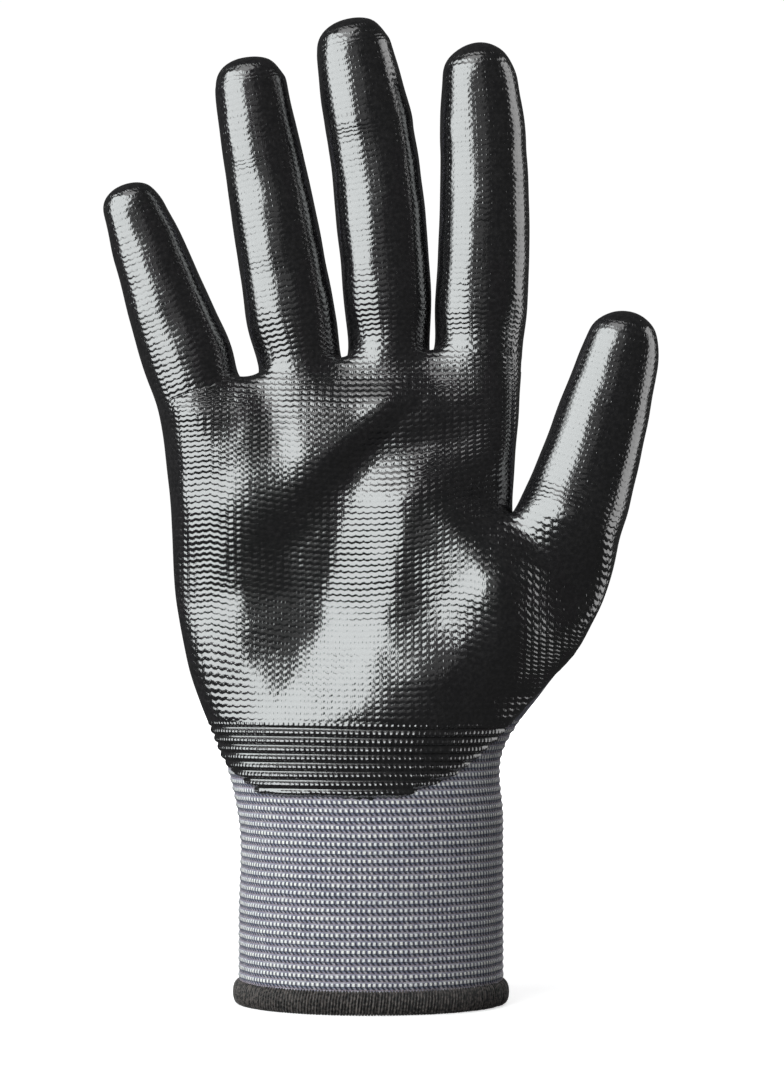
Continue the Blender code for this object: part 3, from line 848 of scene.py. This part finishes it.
def cuff_material(name):
    """Elastic cuff: white loops in rows, over lavender and blue marl, with painted shade in the slanted
    gaps and between the loops.
    """
    material, tree, shader = new_material(name)
    u, v = knit_coordinates(tree)
    wobble = noise(tree, 0.004, 2.0) * 0.36 - 0.18
    row = (v + wobble * 0.4).fraction()
    column = u + wobble * 0.6
    pick = cell_random(tree, u + 0.5, v)
    along = column.zigzag()
    half = (column * 2.0).zigzag()
    tall = (row - 0.66).math("ABSOLUTE")
    loops = ((along * 0.35 + 0.65) * half).rise(0.26, 0.50) * (tall * -1.0 + 0.25).rise(0.0, 0.07)
    slant = (column * 2.0 + row * 1.2).zigzag()
    gaps = slant.rise(0.38, 0.62) * (row - 0.02).rise(0.0, 0.08) * (row * -1.0 + 0.50).rise(0.0, 0.10)
    between = (half * -1.0 + 0.35).rise(0.0, 0.2) * (tall * -1.0 + 0.20).rise(0.0, 0.1) * 0.7
    gaps = gaps.math("MAXIMUM", between)
    band = (row * -1.0 + 0.52).rise(-0.05, 0.10) * (row - 0.30).rise(-0.05, 0.10)
    body = marl(tree, u * 2.0, v * 2.0, MARL)
    body = mix(tree, 0.45, body, (0.34, 0.325, 0.41))
    body = mix(tree, band * 0.6, body, (0.10, 0.17, 0.30))
    foot = (row - 0.06).math("ABSOLUTE") * -1.0 + 0.12
    body = mix(tree, foot.rise(0.0, 0.10) * 0.5, body, (0.30, 0.20, 0.20))
    # Painted shade: the slanted gaps and the spaces between the loops, which are the relief's recesses,
    # are coloured near black.
    body = mix(tree, gaps * 0.92, body, (0.020, 0.022, 0.04))
    white = mix(tree, pick, (0.88, 0.90, 0.92), (1.0, 1.0, 0.96))
    body = mix(tree, loops, body, white)
    normal = bump(tree, noise(tree, FIBRE, 2.0), 0.00006)
    normal = bump(tree, loops - gaps * 0.8, 0.0004, normal)
    dress(tree, shader, body, normal, {"Roughness": 0.8, "Sheen Weight": 0.2})
    return material


def lining_material(name):
    """Inside of the knit: soft grey plush of the yarn's back loops."""
    material, tree, shader = new_material(name)
    fibre = noise(tree, 0.0012, 4.0, 0.7)
    colour = mix(tree, fibre, (0.12, 0.12, 0.17), (0.42, 0.41, 0.46))
    dress(tree, shader, colour, bump(tree, fibre, 0.0004), {"Roughness": 0.95})
    return material


def thread_material(name):
    """Dark overlock thread of the hem."""
    material, tree, shader = new_material(name)
    fibre = noise(tree, 0.0007, 3.0, 0.6)
    colour = mix(tree, fibre.rise(0.42, 0.62), (0.003, 0.0027, 0.0027), (0.10, 0.085, 0.078))
    dress(tree, shader, colour, bump(tree, fibre, 0.0001), {"Roughness": 0.6, "Sheen Weight": 0.3})
    return material


def elastic_material(name):
    """Covered elastic yarn: a pale spiral wrap."""
    material, tree, shader = new_material(name)
    fibre = noise(tree, 0.0005, 2.0)
    colour = mix(tree, fibre, (0.45, 0.44, 0.42), (0.8, 0.79, 0.75))
    dress(tree, shader, colour, bump(tree, fibre, 0.0002), {"Roughness": 0.7})
    return material


# ---------------------------------------------------------------- the glove
def cuff_relief(wale, row):
    """Height of the cuff's knitted rows over its plain wall."""
    ridge = 0.5 + 0.5 * np.cos(2.0 * math.pi * (row - ROW_PHASE))
    stitch = 0.5 + 0.5 * np.cos(4.0 * math.pi * wale)
    return CUFF_RIDGE * ridge ** 0.9 + CUFF_STITCH * ridge * stitch


def build_hand():
    """Cut the hand into its pieces."""
    cage = build_cage()
    holder = fitted_cage(cage)
    skin = read_skin(holder, FINE_LEVEL)
    coarse = read_skin(holder, LINING_LEVEL)
    bpy.data.objects.remove(holder)

    for mesh in (skin, coarse):
        form_palm(mesh, cage)
    points = skin.points
    normals = vertex_normals(points, skin.faces)
    place = at_vertices(skin, skin.place)
    station = at_vertices(skin, skin.station)
    cuff = vertex_zones(skin, cage, ["cuff"])

    # Knit coordinates of each face corner: wale and course numbers
    wales = np.zeros(skin.faces.shape)
    rows = np.zeros(skin.faces.shape)
    facing = normals[skin.faces].mean(axis=1)[:, 1] < 0.0
    middle = np.where(facing, PALM_MIDDLE_X, BACK_MIDDLE_X)[:, None]
    flat = skin.faces.ravel()
    wales[:] = palm_wales(points[flat], normals[flat], np.repeat(middle, 4)).reshape(-1, 4)
    rows[:] = palm_rows(points)[skin.faces]
    chosen = skin.zone == cage.zones.index("cuff")
    wales[chosen] = skin.place[chosen] / HAND_PLACES * CUFF_WALES
    rows[chosen] = cuff_rows(points[skin.faces[chosen], 2])
    for stall in ALL_STALLS:
        chosen = np.isin(skin.zone, [cage.zones.index(name) for name in stall_zones(cage, stall)])
        girth = 2.0 * math.pi * stall_half_width(stall, GIRTH_STATION * stall.length) * GIRTH_SHARE
        wales[chosen] = skin.place[chosen] / STALL_PLACES * round(girth / WALE)
        rows[chosen] = (stall.root[2] + skin.station[chosen]) / COURSE

    # Relief of the cuff's rows, which fades out just under the hand
    fade = 1.0 - smoothstep(BAND_TOP - 1.0, BAND_TOP, points[:, 2])
    fade *= smoothstep(CUFF_EDGE_HEIGHT, HEM_HEIGHT, points[:, 2])
    relief = cuff_relief(place / HAND_PLACES * CUFF_WALES, cuff_rows(points[:, 2])) * cuff * fade
    ripples = sum(height * ripple(points, wavelength, seed) for height, wavelength, seed in RIPPLES)
    finish = SHOW_PALM[0] + (SHOW_PALM[1] - SHOW_PALM[0]) * smoothstep(*SHOW_HEIGHTS, points[:, 2])
    for stall in ALL_STALLS:
        here = vertex_zones(skin, cage, stall_zones(cage, stall))
        share = smoothstep(0.0, SHOW_STALL_SHARE, station[here] / stall.length)
        finish[here] -= (finish[here] - SHOW_STALL) * share
    inset = film_inset(skin, cage, points, station)
    lift = -RIM_SINK + (FILM_REACH + RIM_SINK) * smoothstep(*RIM_RISE, inset)
    ribs = np.abs(np.cos(math.pi * (cuff_rows(points[:, 2]) - ROW_PHASE)))
    knit_points = points + normals * (ripples * ~cuff + relief)[:, None]
    film_relief = RIB_HEIGHT * (ribs - RIB_LEVEL) * fade * cuff
    film_points = points + normals * (ripples * ~cuff + lift + film_relief)[:, None]
    knit_normals = vertex_normals(knit_points, skin.faces)
    film_normals = vertex_normals(film_points, skin.faces)
    lining_points = coarse.points - vertex_normals(coarse.points, coarse.faces) * KNIT_THICKNESS
    lining_faces = coarse.faces[:, ::-1]
    lining_normals = vertex_normals(lining_points, lining_faces)

    film = film_material("black_nitrile", False)
    band = film_material("black_nitrile_band", True)
    hand_knit = knit_material("grey_marl_knit")
    cuff_knit = cuff_material("grey_marl_cuff")
    lining = lining_material("knit_back_loops")
    coated = inset[skin.faces].max(axis=1) > FILM_OVERLAP
    bare = inset[skin.faces].min(axis=1) < KNIT_OVERLAP
    uv = np.stack((wales, rows), axis=-1)
    for piece in PIECES:
        here = skin.zone == cage.zones.index(piece.zone)
        chosen = here & coated
        if chosen.any():
            made = add_piece("film_" + piece.zone, film_points, film_normals, skin.faces[chosen],
                             uv[chosen], band if piece.zone == "cuff" else film, piece,
                             finish[skin.faces[chosen]])
            if piece.zone != "cuff":
                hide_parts(cad_name("film", piece.zone))
        chosen = here & bare
        made = add_piece("knit_" + piece.zone, knit_points, knit_normals, skin.faces[chosen],
                         uv[chosen], cuff_knit if piece.zone == "cuff" else hand_knit, piece)
        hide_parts(cad_name("knit", piece.zone))
        chosen = coarse.zone == cage.zones.index(piece.zone)
        made = add_piece("lining_" + piece.zone, lining_points, lining_normals, lining_faces[chosen],
                         None, lining, piece)


def cuff_outline(angle, outwards):
    """Points of the cuff's oval at some angles, moved outwards along the oval's normal."""
    across = np.stack((np.cos(angle) / CUFF_HALF_WIDTH, np.sin(angle) / CUFF_HALF_DEPTH), axis=-1)
    across /= np.linalg.norm(across, axis=-1, keepdims=True)
    x = CUFF_HALF_WIDTH * np.cos(angle) + across[..., 0] * outwards + CUFF_CENTRE_X
    y = CUFF_HALF_DEPTH * np.sin(angle) + across[..., 1] * outwards
    return x, y


HEM_WRAPS = 230
HEM_STEPS = 6
HEM_SECTION = 28
HEM_SLANT = 0.8
THREAD_RISE = 0.42
THREAD_SINK = 0.26
THREAD_WANDER = 0.05
THREAD_SEED = 8


def build_hem():
    """Overlock binding: closely laid slanting threads round the cuff's edge."""
    outer = HEM_CLEARANCE + HEM_THICKNESS
    inner = -KNIT_THICKNESS - HEM_CLEARANCE - HEM_THICKNESS
    middle = (outer + inner) / 2.0
    half = (outer - inner) / 2.0
    turn = np.arange(HEM_SECTION) / HEM_SECTION * 2.0 * math.pi
    outwards = middle + half * np.sign(np.cos(turn)) * np.abs(np.cos(turn)) ** 0.8
    height = HEM_HEIGHT / 2.0 + HEM_HEIGHT / 2.0 * np.sign(np.sin(turn)) * np.abs(np.sin(turn)) ** 0.9
    columns = HEM_WRAPS * HEM_STEPS
    column = np.arange(columns)
    angle = column / columns * 2.0 * math.pi
    arc = np.unwrap(np.interp(angle, *even_angles()))
    slant = HEM_SLANT * height[:, None] / HEM_HEIGHT / HEM_WRAPS * 2.0 * math.pi
    phase = column[None, :] / HEM_STEPS * np.ones((HEM_SECTION, 1))
    thread = np.abs(np.cos(math.pi * phase)) ** 0.7
    rise = THREAD_RISE * thread - THREAD_SINK
    rng = np.random.default_rng(THREAD_SEED)
    rise += THREAD_WANDER * rng.normal(size=HEM_WRAPS)[(column // HEM_STEPS) % HEM_WRAPS][None, :] * thread
    x, y = cuff_outline(arc[None, :] + slant, outwards[:, None] + rise * np.cos(turn)[:, None])
    z = height[:, None] + rise * np.sin(turn)[:, None]
    z = np.maximum(z, 0.0)
    points = np.stack((x, y, z), axis=-1).reshape(-1, 3)
    row, column = np.meshgrid(np.arange(HEM_SECTION), np.arange(columns), indexing="ij")
    after_row = (row + 1) % HEM_SECTION
    after = (column + 1) % columns
    faces = np.stack((row * columns + column, row * columns + after,
                      after_row * columns + after, after_row * columns + column), axis=-1).reshape(-1, 4)
    made = add_piece("hem_threads", points, vertex_normals(points, faces), faces, None,
                     thread_material("hem_thread"), Piece("hem", ("cuff",), None, None))
    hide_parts("hem_binding")


def even_angles():
    """Table from an even position round the cuff's oval to its angle."""
    angle = np.linspace(0.0, 2.0 * math.pi, 721)
    x, y = cuff_outline(angle, 0.0)
    steps = np.hypot(np.diff(x), np.diff(y))
    arc = np.concatenate(([0.0], np.cumsum(steps)))
    return arc / arc[-1] * 2.0 * math.pi, angle


def finish_elastic():
    """The CAD's elastic yarn keeps its shape and gets its own finish."""
    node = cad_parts["cuff_elastic"]
    node.data.materials.clear()
    node.data.materials.append(elastic_material("elastic_yarn"))


# ---------------------------------------------------------------- studio
IMAGE_HEIGHT = 1066
CAMERA_DISTANCE = 0.80
CAMERA_HEIGHT = 0.1178
CAMERA_X = 0.00275
UNITS_PER_MM = 3.985
SENSOR = 36.0
CLIP_END = 30.0
FLOOR_REACH = 6.0
LIGHT_TARGET = (0.0, 0.0, 0.125)
# Strength of the surroundings: in general, and what is added when seen and taken away when mirrored
SURROUND = 0.15
SURROUND_SEEN = 0.87
SURROUND_MIRRORED = 0.105

Softbox = namedtuple("Softbox", "name place size power colour hidden")
WHITE = (1.0, 1.0, 1.0)
SOFTBOXES = (
    Softbox("key_softbox", (-0.85, -0.62, 0.42), (1.42, 1.25), 19.5, (0.96, 1.0, 1.0), ()),
    Softbox("front_softbox", (-0.20, -1.2, 0.45), (0.7, 0.8), 0.25, WHITE, ()),
    Softbox("right_softbox", (1.0, 0.15, 0.25), (0.7, 1.2), 3.5, WHITE, ("visible_diffuse",)),
    Softbox("top_softbox", (-0.35, -0.65, 1.2), (0.8, 0.6), 1.6, WHITE, ()),
    Softbox("back_softbox", (0.5, 1.1, 0.6), (1.0, 1.0), 12.0, WHITE, ("visible_glossy",)),
)


def add_softbox(softbox):
    """Rectangular light that faces the glove and isn't seen directly."""
    data = bpy.data.lights.new(softbox.name, "AREA")
    data.shape = "RECTANGLE"
    data.size, data.size_y = softbox.size
    data.energy = softbox.power
    data.color = softbox.colour
    light = bpy.data.objects.new(softbox.name, data)
    bpy.context.scene.collection.objects.link(light)
    light.location = softbox.place
    away = Vector(LIGHT_TARGET) - Vector(softbox.place)
    light.rotation_euler = away.to_track_quat("-Z", "Y").to_euler()
    for ray in ("visible_camera",) + softbox.hidden:
        setattr(light, ray, False)


def build_studio():
    """Pale floor and surroundings, softboxes and the camera."""
    mesh = bpy.data.meshes.new("floor")
    corners = [(FLOOR_REACH * x, FLOOR_REACH * y, 0.0) for x, y in ((-1, -1), (1, -1), (1, 1), (-1, 1))]
    mesh.from_pydata(corners, [], [(0, 1, 2, 3)])
    material, tree, shader = new_material("studio_floor")
    shader.inputs["Base Color"].default_value = (0.90, 0.90, 0.90, 1.0)
    shader.inputs["Roughness"].default_value = 0.9
    shader.inputs["Emission Color"].default_value = (1.0, 1.0, 1.0, 1.0)
    place = tree.nodes.new("ShaderNodeTexCoord")
    away = tree.nodes.new("ShaderNodeVectorMath")
    away.operation = "LENGTH"
    tree.links.new(place.outputs["Object"], away.inputs[0])
    glow = Value(tree, away.outputs["Value"]).rise(0.15, 1.2) * 0.35 + 0.58
    tree.links.new(glow.socket, shader.inputs["Emission Strength"])
    mesh.materials.append(material)
    floor = bpy.data.objects.new("floor", mesh)
    bpy.context.scene.collection.objects.link(floor)
    floor.visible_glossy = False
    floor.visible_diffuse = False

    world = bpy.data.worlds.new("studio")
    bpy.context.scene.world = world
    world.use_nodes = True
    tree = world.node_tree
    background = tree.nodes["Background"]
    background.inputs["Color"].default_value = (1.0, 1.0, 1.0, 1.0)
    path = tree.nodes.new("ShaderNodeLightPath")
    seen = Value(tree, path.outputs["Is Camera Ray"])
    mirrored = Value(tree, path.outputs["Is Glossy Ray"])
    strength = seen * SURROUND_SEEN - mirrored * SURROUND_MIRRORED + SURROUND
    tree.links.new(strength.socket, background.inputs["Strength"])

    for softbox in SOFTBOXES:
        add_softbox(softbox)

    data = bpy.data.cameras.new("camera")
    data.sensor_width = SENSOR
    data.lens = SENSOR * CAMERA_DISTANCE / (IMAGE_HEIGHT / UNITS_PER_MM * MM)
    data.clip_end = CLIP_END
    camera = bpy.data.objects.new("camera", data)
    bpy.context.scene.collection.objects.link(camera)
    camera.location = (CAMERA_X, -CAMERA_DISTANCE, CAMERA_HEIGHT)
    camera.rotation_euler = (math.pi / 2.0, 0.0, 0.0)
    bpy.context.scene.camera = camera
    bpy.context.scene.view_settings.view_transform = "Standard"


build_hand()
build_hem()
finish_elastic()
build_studio()
